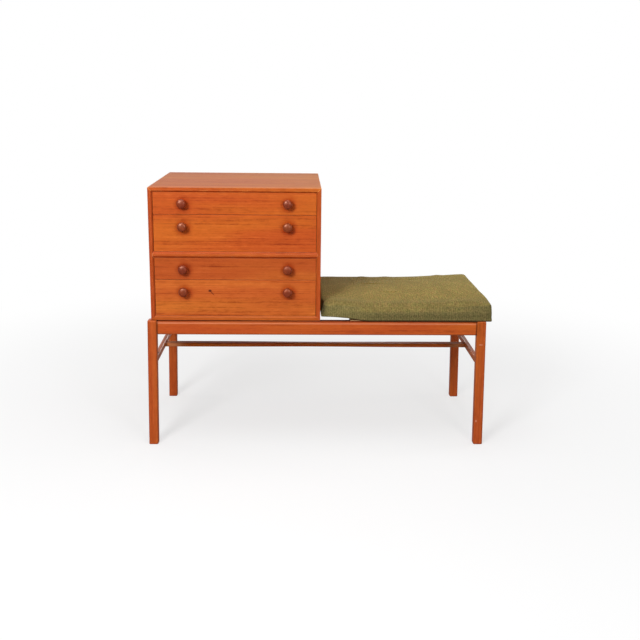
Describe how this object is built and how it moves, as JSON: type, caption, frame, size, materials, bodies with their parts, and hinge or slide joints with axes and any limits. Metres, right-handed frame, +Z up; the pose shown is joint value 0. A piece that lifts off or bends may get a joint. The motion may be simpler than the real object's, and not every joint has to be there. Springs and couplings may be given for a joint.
{
  "type": "telephone bench",
  "caption": "Low teak bench frame that carries a chest of drawers with turned knobs at one end and a loose upholstered seat cushion at the other.",
  "frame": {"origin": "middle of the bench's outline, on the floor", "axes": "+X along the bench towards the seat end, +Y towards its back, +Z up"},
  "size_m": [1.001, 0.46, 0.763],
  "materials": {
    "teak_frame": "oiled teak",
    "teak_chest": "oiled teak veneer",
    "teak_drawer_front": "oiled teak veneer, grain along the width",
    "turned_knob": "polished dark wood",
    "drawer_lining": "plain pale wood",
    "beech_inner": "planed beech",
    "back_veneer": "thin plywood, rubbed",
    "steel_fastener": "dull steel",
    "wool_cover": "coarse woven wool"
  },
  "bodies": {
    "bench": {"back_pins": "steel_fastener", "bearer_left": "beech_inner", "bearer_right": "beech_inner", "chest_back": "back_veneer", "chest_bottom": "teak_chest", "chest_divider": "teak_chest", "chest_left_side": "teak_chest", "chest_right_side": "teak_chest", "chest_screws": "steel_fastener", "chest_top": "teak_chest", "drawer_runners_1": "beech_inner", "drawer_runners_2": "beech_inner", "drawer_runners_3": "beech_inner", "drawer_runners_4": "beech_inner", "leg_back_left": "teak_frame", "leg_back_right": "teak_frame", "leg_front_left": "teak_frame", "leg_front_right": "teak_frame", "rail_back": "teak_frame", "rail_front": "teak_frame", "rail_left": "teak_frame", "rail_right": "teak_frame", "seat_slat_1": "beech_inner", "seat_slat_2": "beech_inner", "seat_slat_3": "beech_inner", "seat_slat_4": "beech_inner", "slat_screws": "steel_fastener", "stretcher_left": "teak_frame", "stretcher_long": "teak_frame", "stretcher_right": "teak_frame"},
    "drawer_1": {"drawer_1_back": "drawer_lining", "drawer_1_bottom": "drawer_lining", "drawer_1_front": "teak_drawer_front", "drawer_1_left_knob": "turned_knob", "drawer_1_left_side": "drawer_lining", "drawer_1_right_knob": "turned_knob", "drawer_1_right_side": "drawer_lining"},
    "drawer_2": {"drawer_2_back": "drawer_lining", "drawer_2_bottom": "drawer_lining", "drawer_2_front": "teak_drawer_front", "drawer_2_left_knob": "turned_knob", "drawer_2_left_side": "drawer_lining", "drawer_2_right_knob": "turned_knob", "drawer_2_right_side": "drawer_lining"},
    "drawer_3": {"drawer_3_back": "drawer_lining", "drawer_3_bottom": "drawer_lining", "drawer_3_front": "teak_drawer_front", "drawer_3_left_knob": "turned_knob", "drawer_3_left_side": "drawer_lining", "drawer_3_right_knob": "turned_knob", "drawer_3_right_side": "drawer_lining"},
    "drawer_4": {"drawer_4_back": "drawer_lining", "drawer_4_bottom": "drawer_lining", "drawer_4_front": "teak_drawer_front", "drawer_4_left_knob": "turned_knob", "drawer_4_left_side": "drawer_lining", "drawer_4_right_knob": "turned_knob", "drawer_4_right_side": "drawer_lining"},
    "cushion": {"seat_cushion": "wool_cover"}
  },
  "joints": [
    {"name": "drawer_1_slide", "type": "slide", "parent": "bench", "child": "drawer_1", "axis": [0, -1, 0], "range_m": [0, 0.3]},
    {"name": "drawer_2_slide", "type": "slide", "parent": "bench", "child": "drawer_2", "axis": [0, -1, 0], "range_m": [0, 0.3]},
    {"name": "drawer_3_slide", "type": "slide", "parent": "bench", "child": "drawer_3", "axis": [0, -1, 0], "range_m": [0, 0.3]},
    {"name": "drawer_4_slide", "type": "slide", "parent": "bench", "child": "drawer_4", "axis": [0, -1, 0], "range_m": [0, 0.3]},
    {"name": "cushion_lift", "type": "slide", "parent": "bench", "child": "cushion", "axis": [0, 0, 1], "range_m": [0, 0.25]}
  ]
}
